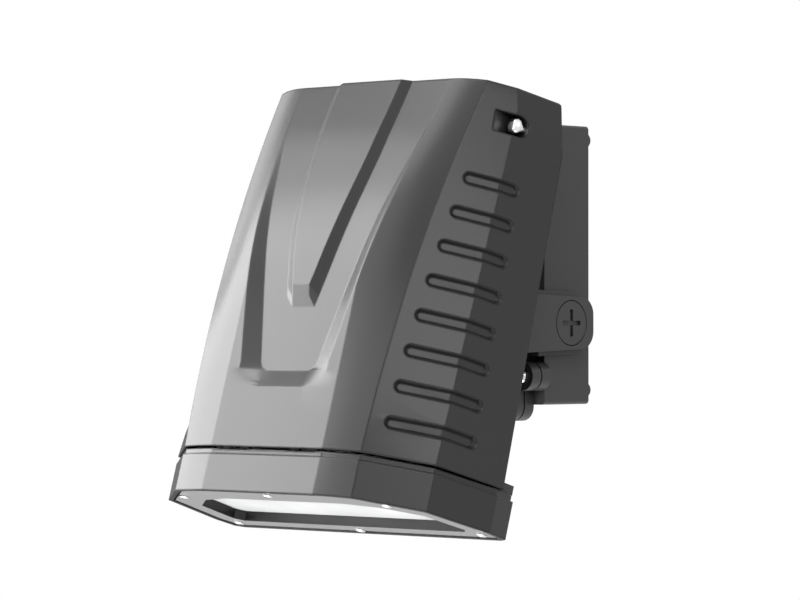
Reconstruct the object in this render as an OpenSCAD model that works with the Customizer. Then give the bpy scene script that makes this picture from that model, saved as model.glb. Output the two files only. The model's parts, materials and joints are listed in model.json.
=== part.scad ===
// Adjustable LED wall pack light.
// A cast wall box carries a tilting head on two side arms. The head is a sculpted hood over a
// rear housing, with a lens frame that looks down. The wall plane is Y = 0, +Z is up, and the
// origin is the middle of the box on the wall. The head is drawn in its own upright frame, with
// its front lower edge at Y = 0 and Z = 0, and is tilted about the pivot afterwards.

/* [Wall box] */
// Width of the wall box
box_w = 150; // [130:1:160]
// Height of the wall box
box_h = 178; // [160:1:190]
// Depth of the box body from its rear rim to its flange
box_d = 42.5; // [38:0.5:46]
// Radius of the box body's corners
box_r = 2.5; // [1.5:0.5:6]
// Thickness of the box walls
box_wall = 3.2; // [2.5:0.1:4.5]
// Height of the feet behind the rear rim, and thickness of the wall gasket
foot_h = 2; // [1:0.5:3]
// How far the flange stands in from each side of the box body
flange_in = 9; // [7:0.5:11]
// How far the flange hangs below the box body
flange_drop = 10.3; // [5:0.1:12]
// Thickness of the flange
flange_t = 8.4; // [6:0.2:10]
// Thickness of the front cover
cover_t = 7.9; // [6:0.1:9]
// Thickness of the gasket between flange and cover
cover_gasket_t = 1.2; // [0.8:0.1:2]
// Radius of the round screw ears
ear_r = 9.3; // [8:0.1:10]
// Distance of the screw ears from the top and the bottom of the box
ear_in = 18.3; // [15:0.1:23]
// Radius of the wire entry in the rear wall
wire_hole_r = 11; // [8:0.5:14]
// Distance of the wall screw holes from the four sides of the box
wall_hole_in = 17; // [16:0.5:30]
// Radius of the wall screw holes
wall_hole_r = 3.3; // [2.5:0.1:4]

/* [Pivot] */
// Height of the pivot below the middle of the box
pivot_drop = 37.2; // [30:0.1:42]
// Distance of the pivot from the wall
pivot_out = 32.2; // [28:0.1:36]
// Tilt of the head from upright, lens turned outwards
tilt = 16.6; // [0:0.1:17.5]
// Distance of the pivot behind the bottom band
pivot_gap = 52.8; // [52.5:0.1:62]
// Height of the pivot above the bottom of the head
pivot_up = 154.5; // [150:0.1:160]
// Thickness of each arm
arm_t = 5; // [4:0.1:6]
// Half height of the arm at its rounded end
arm_end_h = 16.6; // [16:0.1:18]
// Half height of the arm where it meets the head
arm_root_h = 20.1; // [18:0.1:22]
// Thickness of the raised pad on the side of the box
pad_t = 5.6; // [4:0.1:6]
// Border of the pad around the arm
pad_border = 2.9; // [2:0.1:4]
// Gap between the pad and the arm, filled by the friction washer
arm_gap = 1.4; // [1:0.1:2]
// Radius of the pivot screw's shoulder
shoulder_r = 8; // [6:0.1:9]
// Radius of the pivot screw's head, sunk into the arm
pivot_head_r = 14; // [12:0.1:15.4]
// Height of the pivot screw's head
pivot_head_t = 2.2; // [1.5:0.1:2.6]

/* [Head] */
// Half width of the head at the rear of its bottom edge
head_half_w = 121; // [118:0.5:124]
// Depth of the bottom band
head_d = 102.5; // [100:0.5:106]
// Height of the head
head_h = 275.1; // [269:0.1:277]
// Height of the bottom band
band_h = 23.8; // [22:0.1:25]
// Height of the set-back strip above the band
strip_h = 3.6; // [3:0.1:4]
// How far the strip is set back
strip_in = 1.4; // [1:0.1:2]
// Open seam between the strip and the hood
seam = 1.2; // [0.8:0.1:2]
// Thickness of the band wall
band_wall = 3; // [2.5:0.1:4]
// Thickness of the hood wall
hood_wall = 3.4; // [3.2:0.1:3.8]
// Thickness of the rear housing's rim
rim_t = 5.6; // [5:0.1:7]
// Thickness of the rear housing's back wall
back_wall = 3.4; // [3:0.1:4]

/* [Hood front] */
// Half width of the flat middle of the front
mid_half_w = 48.8; // [46:0.2:50]
// Height where the front starts to lean back
lean_z = 128; // [122:1:134]
// Height where the front has its full lean
lean_end_z = 200; // [190:1:210]
// Radius of the lean
lean_r = 300; // [280:5:340]
// Depth of the U-shaped trough
trough_d = 4.2; // [3:0.1:5]
// Height of the bottom edge of the trough
trough_z = 67; // [62:1:72]
// Half width of the trough's mouth at the top of the hood
trough_top_w = 64.5; // [60:0.5:67]
// Height of the raised V over the trough floor
vee_h = 3.9; // [3:0.1:4.5]
// Height of the foot of the raised V
vee_z = 120; // [115:1:125]
// Half width of the raised V's foot at the top of the hood
vee_top_w = 33; // [30:0.5:35]

/* [Side grooves] */
// Number of grooves on each side
groove_n = 8; // [6:1:8]
// Distance of the highest groove below the top of the hood
groove_top_gap = 65.3; // [63:0.1:73]
// Height of the lowest groove above the bottom of the head
groove_z = 49.5; // [48:0.5:52]
// Radius of a groove at the surface
groove_r = 4.3; // [3.8:0.1:4.6]
// Depth of a groove
groove_d = 2.6; // [1.5:0.1:2.7]
// Width of plain metal between a groove and the front edge
groove_margin = 13.5; // [12:0.5:16]

/* [Lens] */
// Width of the lens frame in front of the opening
frame_front = 24.5; // [22:0.5:26]
// Width of the lens frame beside the opening
frame_side = 19; // [17:0.5:21]
// Thickness of the lens frame
frame_t = 2.4; // [2:0.1:3]
// How deep the glass sits behind the face of its frame
glass_sink = 6.4; // [4:0.1:7]
// Thickness of the glass lens
glass_t = 4; // [3:0.1:4.4]
// Number of light chips across
chip_nx = 9; // [5:1:9]
// Number of rows of light chips
chip_ny = 4; // [2:1:4]

/* [Hidden] */
// Overrun of every cut past the face that it opens
over = 1;
// Loose gap between pieces that come apart
play = 0.3;
// Radial clearance of the pivot and of the door hinges
run_clear = 0.05;
$fn = 48;
paint = [0.33, 0.34, 0.35];
dark_paint = [0.22, 0.22, 0.23];
steel = [0.78, 0.78, 0.78];
rubber = [0.08, 0.08, 0.08];

// Places along Y, as distances out from the wall
flange_y = foot_h + box_d;
cover_gasket_y = flange_y + flange_t;
cover_y = cover_gasket_y + cover_gasket_t;
cover_front = cover_y + cover_t;
flange_bottom = -box_h / 2 - flange_drop;
flange_top = box_h / 2 + foot_h;
flange_w = box_w - 2 * flange_in;
flange_corner_r = ear_r;
ear_x = flange_w / 2 + ear_r * 0.6;
ear_z = box_h / 2 - ear_in;
wall_hole_w = box_w - 2 * wall_hole_in;
wall_hole_h = box_h - 2 * wall_hole_in;
lip_w = 10;
rear_wall = 4;
groove_seat = 0.8;
screw_r = 2.4;
screw_head_r = 4.3;
screw_head_t = 2.4;
screw_len = 20;
slot_w = 1.1;
foot_r = 4.8;
foot_in = 9;
gasket_in = 6;
plug_r = 10.4;
plug_head_r = 13.5;
plug_head_t = 2.6;
plug_len = 9;
plug_slot_w = 2;
grommet_t = 2.2;
wire_hole_z = -28;
terminal_size = [38, 18, 16];
terminal_z = 40;
terminal_n = 3;
ground_x = 42;
ground_z = -50;
ground_r = 2;
boss_r = 5;
boss_h = 4;
gland_r = 9;
gland_nut_r = 12;
gland_h = 12;
gland_flange_t = 4;
gland_bore_r = 3.5;
gland_x = 22;
gland_rise = 27.3;
gland_z = flange_bottom + gland_rise;
head_gland_up = 66;
gland_sides = 6;
pivot_back = head_d + pivot_gap;
arm_x = box_w / 2 + pad_t + arm_gap;
pad_front = cover_y + groove_seat * 3;
arm_end_y = 21.2;
arm_corner_r = 11.5;
pad_inner_x = box_w / 2 - box_wall - play * 4;
washer_t = 1;
washer_r = 14;
pivot_thread_r = 5;
pivot_thread_len = 11;
pivot_shoulder_len = arm_gap + arm_t - pivot_head_t;
cross_w = 2.8;
cross_len = 17;
cross_d = 1.6;
yoke_plate_t = 6;
yoke_plate_low = 42;
yoke_plate_high = 6;
yoke_screw_rise = 14;
yoke_screw_x = 62;
yoke_screw_r = 3;
yoke_screw_head_r = 5;
yoke_screw_head_t = 4;

// The head's outline, front to rear, at the bottom
edge_w1 = mid_half_w;
edge_w2_share = 0.6413;
edge_w3_share = 0.9405;
edge_y3_share = 0.322;
edge_w2 = head_half_w * edge_w2_share;
edge_w3 = head_half_w * edge_w3_share;
edge_y2 = 4.5;
edge_y3 = head_d * edge_y3_share;
rear_corner = [[0, 19.5], [1.6, 3], [8, 0]];
// The hood's edges at its bottom and its top
hood_z = band_h + strip_h + seam;
hood_top_w2_share = 0.7537;
hood_top_w3_share = 0.8537;
hood_top_y3_share = 0.5171;
hood_side_in = 1;
hood_rear_in = 14.2;
shoulder_drop = 33.1;
shoulder_in = 4.4;
shoulder_lean = 1.7;
top_in = 9.9;
top_lean = 4.4;
fold_drop = 14;
fold_in = 2.1;
fold_out = 2.9;
fold_end_share = 0.04;
hood_rear_w = head_half_w - hood_side_in;
hood_rear_y = head_d - hood_rear_in;
hood_top_w2 = head_half_w * hood_top_w2_share;
hood_top_w3 = head_half_w * hood_top_w3_share;
hood_top_y3 = head_d * hood_top_y3_share;
hood_top_rear_w = hood_rear_w - top_in;
shoulder_z = head_h - shoulder_drop;
shoulder_w = hood_rear_w - shoulder_in;
shoulder_y = hood_rear_y - shoulder_lean;
fold_z = head_h - fold_drop;
rear_plane_y = hood_rear_y - rim_t;
edge2_r = 947;
edge2_z = 40;
top_round = 2.4;
roll_n = 4;
rear_angle = atan(shoulder_lean / (shoulder_z - hood_z));
vee_tip_rise = 13;
vee_tip_w = 12;
vee_run = 6.8;
vee_tip_edge_w = 7.6;
trough_low_w = 35;
trough_corner_r = 16;
trough_corner_x = 23;
floor_rise = 11.8;
floor_corner_x = 18.5;
floor_corner_r = 5;
trough_fade_z = 140;
trough_end_drop = 37.1;
trough_end_z = head_h - trough_end_drop;
groove_floor_r = 2.4;
groove_rear_in = 26.7;
groove_end_back = 4.3;
groove_rear_y = hood_rear_y - groove_rear_in;
groove_pitch = (head_h - groove_top_gap - groove_z) / (groove_n - 1);
captive_r = 2.5;
captive_head_r = 5.3;
captive_head_t = 3.6;
captive_slot_w = 1.6;
captive_collar_r = 3.8;
captive_in = 1.7;
captive_x = hood_top_w3 - captive_in;
post_h = 9;
captive_tip_y = rear_plane_y - post_h * 0.3;
pocket_r = 6.8;
pocket_len = 14.5;
pocket_drop = 24.6;
pocket_past_edge = 1.5;
pocket_floor_in = 5.8;
pocket_end_y = hood_top_y3 + pocket_past_edge;
pocket_y = pocket_end_y - pocket_len;
pocket_z = head_h - pocket_drop;
pocket_x = captive_x - pocket_floor_in;
captive_head_gap = 3;
captive_y = pocket_end_y - captive_head_gap;
retainer_y = pocket_end_y + pocket_r + hood_wall * 0.6;

// Places on the rear housing, measured along its sloping rear plane
post_r = 5.8;
post_mouth_r = 4.8;
fin_n = 7;
fin_t = 2.2;
fin_d = 9;
fin_x = 40;
fin_in = 18;
fin_pitch = (head_half_w - fin_in - fin_x) / (fin_n - 1);
fin_z = 12;
fin_h = 70;
hood_gasket_w = 3;
wrap_in = hood_wall * 1.5 + play * 2;
lip_h = 5.9;
lip_half_w = hood_rear_w - wrap_in;

// Heights inside the head, from the bottom up
frame_z = 0.8;
frame_top = frame_z + frame_t + play;
frame_lip_t = 1.6;
glass_z = frame_z + glass_sink;
deck_t = 3;
deck_z = band_h - deck_t;
board_t = 1.6;
chip = 3;
chip_t = 0.8;
lens_screw_r = 1.5;
lens_head_r = 3.4;
lens_head_t = 1.5;
lens_screw_len = 12;
lens_boss_r = 2.9;
lens_corner_in = 14;
lens_corner_up = 11.5;
lens_side_share = 0.455;
lens_edge_gap = 7.7;
glass_border = 3.8;
gasket_t = 1.2;
plate_gap = 1.2;
sink_z = band_h + strip_h + play;
sink_base_t = 6;
sink_h = 30;
sink_w = 140;
lug_w = 12;
foot_w = 104;
foot_d = 10;
foot_screw_x = 40;
sink_gap = 13.6;
sink_y0 = 24;
foot_y = hood_rear_y - play - foot_d;
sink_d = foot_y - sink_gap - sink_y0;
lug_screw_y = sink_y0 + sink_d + lug_w / 2;
sink_fin_n = 15;
sink_fin_t = 2;
driver_size = [128, 34, 62];
driver_gap = 10;
driver_z = 128;
bracket_t = 2;
bracket_foot = 14;
hinge_x = 30;
hinge_w = 24;
hinge_y = 3.1;
hinge_rise = 2.3;
hinge_z = band_h + hinge_rise;
knuckle_r = 1.7;
hinge_pin_r = 1;
leaf_t = 1.7;
leaf_h = 16;
knuckle_w = 8;

// How far the middle of the front leans back at height z
function mid_y(z) = z < lean_z ? 0
    : z < lean_end_z ? lean_r - sqrt(pow(lean_r, 2) - pow(z - lean_z, 2))
    : lean_r - sqrt(pow(lean_r, 2) - pow(lean_end_z - lean_z, 2))
        + (z - lean_end_z) * tan(asin((lean_end_z - lean_z) / lean_r));
// Straight run of a value from the bottom to the top of the hood
function rise(low, high, z) = low + (high - low) * (z - hood_z) / (head_h - hood_z);
function clamp01(t) = max(0, min(1, t));
function edge2_lean(z) = edge_y2 + edge2_r - sqrt(pow(edge2_r, 2) - pow(max(z - edge2_z, 0), 2));
function trough_w(z) = z < trough_z + trough_corner_r
    ? trough_corner_x + sqrt(max(0, pow(trough_corner_r, 2) - pow(trough_z + trough_corner_r - z, 2)))
    : trough_top_w - (trough_top_w - trough_low_w) * pow(1 - (z - trough_z) / (head_h - trough_z), 1.5);
function floor_low_w() = floor_corner_x + floor_corner_r;
function floor_z() = trough_z + floor_rise;
function floor_w(z) = z < floor_z() ? min(trough_w(z), floor_corner_x)
    : z < floor_z() + floor_corner_r
    ? floor_corner_x + sqrt(pow(floor_corner_r, 2) - pow(floor_z() + floor_corner_r - z, 2))
    : min(trough_w(z), floor_low_w()
        + (trough_w(trough_end_z) - floor_low_w()) * (z - floor_z()) / (trough_end_z - floor_z()));
function trough_depth(z) = trough_d * clamp01((z - trough_z) / floor_rise)
    * clamp01((trough_end_z - z) / (trough_end_z - trough_fade_z));
function vee_share(z, z0) = pow(1 - clamp01((z - z0) / (head_h - z0)), 2);
function vee_foot_w(z) = vee_top_w - (vee_top_w - vee_tip_w) * vee_share(z, vee_z);
function vee_edge_w(z) = (vee_top_w - vee_run)
    - (vee_top_w - vee_run - vee_tip_edge_w) * vee_share(z, vee_z + vee_tip_rise);
function vee_rise(z) = vee_h * clamp01((z - vee_z) / vee_tip_rise);
// The hood's front and rear edge of its side at height z; both turn in near the top
function edge3(z) = let (t = clamp01((z - fold_z) / fold_drop))
    [rise(edge_w3, hood_top_w3, z) - t * fold_in, rise(edge_y3, hood_top_y3, z) - t * fold_out];
function hood_rear(z) = let (low = (z - hood_z) / (shoulder_z - hood_z),
    high = clamp01((z - shoulder_z) / shoulder_drop)) z < shoulder_z
    ? [hood_rear_w - low * shoulder_in, hood_rear_y - low * shoulder_lean]
    : [shoulder_w - high * (shoulder_w - hood_top_rear_w), shoulder_y - high * top_lean];
// The fold of the side, from the rear edge at the shoulder up to the front edge
function side_fold(z) = let (turns = z > shoulder_z && z < fold_z,
    low = hood_rear(turns ? shoulder_z : z), high = edge3(turns ? fold_z : z),
    share = (z - shoulder_z) / (fold_z - shoulder_z))
    low + max(fold_end_share, min(1 - fold_end_share, share)) * (high - low);
function middle_w(z) = max(mid_half_w, trough_w(max(z, lean_z)));
function middle_end(z) = [max(middle_w(z), trough_w(z) + play * 2), mid_y(z)];
function edge2(z) = [rise(edge_w2, hood_top_w2, z), edge2_lean(z)];
// Points of a surface that rolls back from p, where it leaves straight across, to q
function rolled(p, q) = [for (k = [1:roll_n - 1])
    [p[0] + k / roll_n * (q[0] - p[0]), p[1] + pow(k / roll_n, 2) * (q[1] - p[1])]];
// Half of the hood's outline at height z, from the middle of the front to the rear edge
function hood_half(z) = concat([
    [0, mid_y(z) + trough_depth(z) - vee_rise(z)],
    [vee_edge_w(z), mid_y(z) + trough_depth(z) - vee_rise(z)],
    [vee_foot_w(z), mid_y(z) + trough_depth(z)],
    [max(floor_w(z), vee_foot_w(z) + play), mid_y(z) + trough_depth(z)],
    [max(trough_w(z), max(floor_w(z), vee_foot_w(z) + play) + play), mid_y(z)],
    middle_end(z)], rolled(middle_end(z), edge2(z)), [
    edge2(z), edge3(z), side_fold(z), hood_rear(z)]);
function shell_half(z) = [
    [0, mid_y(z)], [middle_w(z), mid_y(z)], edge2(z), edge3(z), side_fold(z), hood_rear(z)];
// A half outline with its last leg made longer by d
function lengthened(half, d) = let (n = len(half), dir = unit(half[n - 1] - half[n - 2]))
    [for (i = [0:n - 1]) half[i] + (i == n - 1 ? d : 0) * dir];
function mirrored(half) = concat([for (p = half) p],
    [for (i = [len(half) - 1:-1:(half[0][0] == 0 ? 1 : 0)]) [-half[i][0], half[i][1]]]);
// An outline moved inwards by d, with mitred corners; points run anticlockwise
function unit(v) = v / norm(v);
function side_normal(p, q) = let (u = unit(q - p)) [-u[1], u[0]];
function inset(pts, d) = [for (i = [0:len(pts) - 1])
    let (n = len(pts), a = pts[(i + n - 1) % n], b = pts[i], c = pts[(i + 1) % n],
        m = side_normal(a, b), k = side_normal(b, c))
    b + d * (m + k) / (1 + m * k)];
// The band's outline, anticlockwise seen from above
band_half = concat([[edge_w1, 0]], rolled([edge_w1, 0], [edge_w2, edge_y2]), [[edge_w2, edge_y2],
    [edge_w3, edge_y3]], [for (c = rear_corner) [head_half_w - c[0], head_d - c[1]]]);
band_outline = mirrored(band_half);

// Heights of the rings that the hood is lofted through
hood_rows = concat([hood_z, edge2_z, (edge2_z + trough_z) / 2],
    [for (k = [0, 0.04, 0.16, 0.4, 0.74]) trough_z + k * floor_rise],
    [for (k = [0, 0.1, 0.35, 1]) floor_z() + k * floor_corner_r],
    [floor_z() + floor_corner_r * 2, floor_z() + floor_corner_r * 4, vee_z - floor_corner_r],
    [vee_z, vee_z + vee_tip_rise / 2, vee_z + vee_tip_rise],
    [for (k = [1:12]) vee_z + vee_tip_rise + k * (shoulder_z - vee_z - vee_tip_rise) / 12],
    [for (k = [1:4]) shoulder_z + k * (fold_z - shoulder_z) / 4],
    [for (k = [1, 2]) fold_z + k * (fold_drop - top_round) / 2]);
shell_rows = concat([for (k = [0:16]) hood_z + k * (shoulder_z - hood_z) / 16],
    [for (k = [1:4]) shoulder_z + k * (fold_z - shoulder_z) / 4], [head_h - top_round]);

// Loft of equal rings: rings is a list of point lists, closed by flat caps
module loft(rings) {
    n = len(rings[0]);
    m = len(rings);
    points = [for (ring = rings) for (p = ring) p];
    walls = [for (j = [0:m - 2]) for (i = [0:n - 1]) let (k = (i + 1) % n)
        each [[j * n + i, (j + 1) * n + i, j * n + k], [j * n + k, (j + 1) * n + i, (j + 1) * n + k]]];
    caps = [[for (i = [0:n - 1]) i], [for (i = [n - 1:-1:0]) (m - 1) * n + i]];
    polyhedron(points, concat(walls, caps), convexity = 8);
}

// Flat outline in X and Z made a slab whose rear face is y out from the wall
module slab(y, t) {
    translate([0, -y, 0]) rotate([90, 0, 0]) linear_extrude(height = t) children();
}

// Flat outline in Y and Z made a plate at both sides, from x outwards
module side_plates(x, t) {
    for (side = [0, 1])
        mirror([side, 0, 0])
            translate([x, 0, 0]) rotate([90, 0, 90]) linear_extrude(height = t) children();
}

module rounded_rect(w, h, r) {
    square([w - 2 * r, h], center = true);
    square([w, h - 2 * r], center = true);
    for (x = [-1, 1], z = [-1, 1])
        translate([x * (w / 2 - r), z * (h / 2 - r)]) circle(r = r);
}

// Places children at the four screw ears
module at_ears() {
    for (x = [-1, 1], z = [-1, 1])
        translate([x * ear_x, 0, z * ear_z]) children();
}

// Places children at the four wall screw holes
module at_wall_holes() {
    for (x = [-1, 1], z = [-1, 1])
        translate([x * wall_hole_w / 2, 0, z * wall_hole_h / 2]) children();
}

// Cylinder along Y from the given distance out from the wall
module out_rod(y, r, h) {
    translate([0, -y, 0]) rotate([90, 0, 0]) cylinder(r = r, h = h);
}

// Cylinder along X at the pivot, on both sides
module pivot_rods(x, r, h) {
    for (side = [0, 1])
        mirror([side, 0, 0])
            translate([x, -pivot_out, -pivot_drop]) rotate([0, 90, 0]) cylinder(r = r, h = h);
}

// Moves the head from its own upright frame to its place on the pivot
module in_head() {
    translate([0, -pivot_out, -pivot_drop]) rotate([-tilt, 0, 0])
        translate([0, -pivot_back, -pivot_up]) children();
}

// Frame on the head's sloping rear plane: Z runs up the plane, Y points to the wall
module on_rear() {
    in_head() translate([0, rear_plane_y, hood_z]) rotate([rear_angle, 0, 0]) children();
}

// Flat outline in X and Z on that plane, made a slab from y towards the wall
module rear_slab(y, t) {
    on_rear() translate([0, y + t, 0]) rotate([90, 0, 0]) linear_extrude(height = t) children();
}

module flange_outline(grow = 0) {
    translate([0, (flange_bottom + flange_top) / 2])
        rounded_rect(flange_w + 2 * grow, flange_top - flange_bottom + 2 * grow, flange_corner_r);
    for (x = [-1, 1], z = [-1, 1])
        translate([x * ear_x, z * ear_z]) circle(r = ear_r + grow);
}

module flange_mouth() {
    rounded_rect(flange_w - 2 * lip_w, box_h - 2 * lip_w, box_r);
}

// Outline of an arm or of the pad behind it, grown by a border
module arm_outline(border, front, root_h) {
    corner = arm_corner_r + border;
    rear_y = -pivot_out + arm_end_y - arm_corner_r;
    flat_h = arm_end_h - arm_corner_r;
    translate([0, -pivot_drop]) {
        for (s = [-1, 1])
            translate([rear_y, s * flat_h]) circle(r = corner);
        translate([rear_y, -flat_h]) square([corner, 2 * flat_h]);
        polygon([[rear_y, arm_end_h + border], [-front, root_h + border],
            [-front, -root_h - border], [rear_y, -arm_end_h - border]]);
    }
}

module back_box() {
    color(dark_paint)
    difference() {
        union() {
            slab(foot_h, box_d) rounded_rect(box_w, box_h, box_r);
            slab(flange_y, flange_t) flange_outline();
            for (x = [-1, 1], z = [-1, 1])
                translate([x * (box_w / 2 - foot_r), 0, z * (box_h / 2 - foot_in)])
                    out_rod(0, foot_r, foot_h);
            side_plates(pad_inner_x, box_w / 2 + pad_t - pad_inner_x)
                arm_outline(pad_border, pad_front, arm_end_h + pad_border / 2);
        }
        slab(foot_h + rear_wall, box_d - rear_wall - lip_w / 2)
            rounded_rect(box_w - 2 * box_wall, box_h - 2 * box_wall, box_r);
        slab(foot_h + rear_wall, box_d + flange_t + over) flange_mouth();
        slab(cover_gasket_y, cover_t * 2)
            translate([0, -box_h / 2]) square([2 * pad_inner_x, 2 * box_h], center = true);
        at_ears() out_rod(flange_y - over, screw_r + run_clear, flange_t + 2 * over);
        at_wall_holes() out_rod(foot_h - over, wall_hole_r, rear_wall + 2 * over);
        translate([0, 0, wire_hole_z]) out_rod(foot_h - over, wire_hole_r, rear_wall + 2 * over);
        for (s = [0, 1])
            mirror([0, 0, s])
                translate([0, -foot_h - box_d / 2, box_h / 2 - box_wall - over])
                    cylinder(r = plug_r, h = box_wall + 2 * over);
        pivot_rods(box_w / 2 - lip_w, pivot_thread_r, lip_w + pad_t + over);
    }
    color(dark_paint)
    difference() {
        union() {
            pivot_rods(box_w / 2 - box_wall - boss_h - lip_w / 2, pivot_thread_r + boss_h,
                boss_h + lip_w / 2 + play);
            translate([ground_x, 0, ground_z]) out_rod(foot_h + rear_wall - play, boss_r, boss_h);
        }
        pivot_rods(box_w / 2 - lip_w * 2, pivot_thread_r, lip_w * 2);
        translate([ground_x, 0, ground_z]) out_rod(foot_h + rear_wall, ground_r + run_clear, boss_h + over);
    }
}

module wall_gasket() {
    color(rubber)
    difference() {
        slab(0, foot_h) rounded_rect(box_w - 2 * gasket_in, box_h - 2 * gasket_in, gasket_in);
        for (x = [-1, 1], z = [-1, 1])
            translate([x * (box_w / 2 - foot_r), 0, z * (box_h / 2 - foot_in)])
                out_rod(-over, foot_r + play, foot_h + 2 * over);
        at_wall_holes() out_rod(-over, wall_hole_r, foot_h + 2 * over);
        translate([0, 0, wire_hole_z]) out_rod(-over, wire_hole_r, foot_h + 2 * over);
    }
}

module cover_gasket() {
    color(rubber)
    difference() {
        slab(cover_gasket_y, cover_gasket_t) flange_outline(-groove_seat);
        slab(cover_gasket_y - over, cover_gasket_t + 2 * over) flange_mouth();
        at_ears() out_rod(cover_gasket_y - over, screw_r + play, cover_gasket_t + 2 * over);
    }
}

module box_cover() {
    color(dark_paint)
    difference() {
        slab(cover_y, cover_t) flange_outline();
        slab(cover_y - over, cover_t - box_wall + over) flange_mouth();
        at_ears() out_rod(cover_y - over, screw_r + play, cover_t + 2 * over);
        translate([-gland_x, 0, gland_z]) out_rod(cover_y, gland_r + run_clear, cover_t + over);
    }
}

module cross_recess(w, l, d) {
    for (a = [0, 90])
        rotate([0, 0, a]) translate([-l / 2, -w / 2, -d]) cube([l, w, d + over]);
}

// Pan head screw along Z, head up, its head's seat at Z = 0
module pan_screw(r, len, head_r, head_t, slot) {
    difference() {
        union() {
            translate([0, 0, -len]) cylinder(r = r, h = len);
            cylinder(r = head_r, h = head_t / 2);
            translate([0, 0, head_t / 2]) cylinder(r1 = head_r, r2 = head_r * 0.72, h = head_t / 2);
        }
        translate([0, 0, head_t]) cross_recess(slot, head_r * 1.1, head_t / 2);
    }
}

module cover_screws() {
    color(steel)
    at_ears() translate([0, -cover_front, 0]) rotate([90, 0, 0])
        pan_screw(screw_r, screw_len - flange_t / 2, screw_head_r, screw_head_t, slot_w);
}

module conduit_plugs() {
    color(dark_paint)
    for (s = [0, 1])
        mirror([0, 0, s])
            translate([0, -foot_h - box_d / 2, box_h / 2]) difference() {
                union() {
                    cylinder(r = plug_head_r, h = plug_head_t);
                    translate([0, 0, -plug_len]) cylinder(r = plug_r - run_clear, h = plug_len);
                }
                translate([0, 0, plug_head_t]) cross_recess(plug_slot_w, plug_r, plug_head_t / 2);
                translate([0, 0, -plug_len - over])
                    cylinder(r = plug_r - box_wall, h = plug_len);
            }
}

module wire_grommet() {
    color(rubber)
    translate([0, -foot_h - rear_wall, wire_hole_z]) rotate([90, 0, 0]) difference() {
        union() {
            cylinder(r = wire_hole_r + grommet_t, h = grommet_t);
            translate([0, 0, -rear_wall / 2]) cylinder(r = wire_hole_r - run_clear, h = rear_wall / 2);
        }
        translate([0, 0, -rear_wall]) cylinder(r = wire_hole_r - grommet_t, h = rear_wall * 2);
    }
}

module terminal_block() {
    color([0.85, 0.84, 0.78])
    translate([-terminal_size[0] / 2, -foot_h - rear_wall - terminal_size[1], terminal_z])
        difference() {
            cube(terminal_size);
            for (i = [0:terminal_n - 1])
                translate([(i + 0.5) * terminal_size[0] / terminal_n, 0, terminal_size[2] / 2]) {
                    translate([0, -over, 0]) rotate([-90, 0, 0])
                        cylinder(r = ground_r * 1.5, h = terminal_size[1] / 2);
                    translate([0, terminal_size[1] / 2, -terminal_size[2] / 2 - over])
                        cylinder(r = ground_r, h = terminal_size[2] / 2);
                }
        }
}

module ground_screw() {
    color([0.2, 0.5, 0.25])
    translate([ground_x, -foot_h - rear_wall - boss_h, ground_z]) rotate([90, 0, 0])
        pan_screw(ground_r, boss_h, boss_r, screw_head_t, slot_w);
}

// Cable gland along Z: a six-sided body on a face at Z = 0, its thread below
module gland(thread_len) {
    difference() {
        union() {
            translate([0, 0, -thread_len]) cylinder(r = gland_r, h = thread_len);
            cylinder(r = gland_nut_r, h = gland_flange_t, $fn = gland_sides);
            translate([0, 0, gland_flange_t])
                cylinder(r = gland_r, h = gland_h - gland_flange_t);
        }
        translate([0, 0, -thread_len - over])
            cylinder(r = gland_bore_r, h = gland_h + thread_len + 2 * over);
    }
}

module box_gland() {
    color(rubber) translate([-gland_x, -cover_front, gland_z]) rotate([90, 0, 0]) gland(box_wall);
}

module pivot_screws() {
    color(dark_paint)
    for (side = [0, 1])
        mirror([side, 0, 0])
            translate([arm_x + arm_t - pivot_head_t, -pivot_out, -pivot_drop]) rotate([0, 90, 0])
                difference() {
                    union() {
                        cylinder(r = pivot_head_r, h = pivot_head_t);
                        translate([0, 0, -pivot_shoulder_len])
                            cylinder(r = shoulder_r, h = pivot_shoulder_len);
                        translate([0, 0, -pivot_shoulder_len - pivot_thread_len])
                            cylinder(r = pivot_thread_r - run_clear, h = pivot_thread_len);
                    }
                    translate([0, 0, pivot_head_t]) cross_recess(cross_w, cross_len, cross_d);
                }
}

module friction_washers() {
    color(steel)
    difference() {
        pivot_rods(arm_x - washer_t, washer_r, washer_t);
        pivot_rods(arm_x - washer_t - over, shoulder_r + run_clear, washer_t + 2 * over);
    }
}

module yoke_screw_places() {
    for (x = [-1, 1], z = [-1, 1])
        on_rear() translate([x * yoke_screw_x, 0, pivot_up - hood_z + z * yoke_screw_rise
            + (yoke_plate_high - yoke_plate_low) / 2]) children();
}

module yoke() {
    color(dark_paint)
    difference() {
        union() {
            difference() {
                side_plates(arm_x, arm_t)
                    arm_outline(0, pivot_out + pivot_back - rear_plane_y + rim_t, arm_root_h);
                on_rear() translate([-head_half_w, rim_t - head_d, -head_h / 2])
                    cube([2 * head_half_w, head_d, 2 * head_h]);
            }
            rear_slab(rim_t, yoke_plate_t)
                translate([-arm_x - arm_t, pivot_up - hood_z - yoke_plate_low])
                    square([2 * (arm_x + arm_t), yoke_plate_low + yoke_plate_high]);
        }
        pivot_rods(arm_x - over, shoulder_r + run_clear, arm_t + 2 * over);
        pivot_rods(arm_x + arm_t - pivot_head_t - play, pivot_head_r + play * 2, arm_t);
        yoke_screw_places() translate([0, rim_t - over, 0]) rotate([-90, 0, 0])
            cylinder(r = yoke_screw_r + play, h = yoke_plate_t + 2 * over);
    }
}

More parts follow.
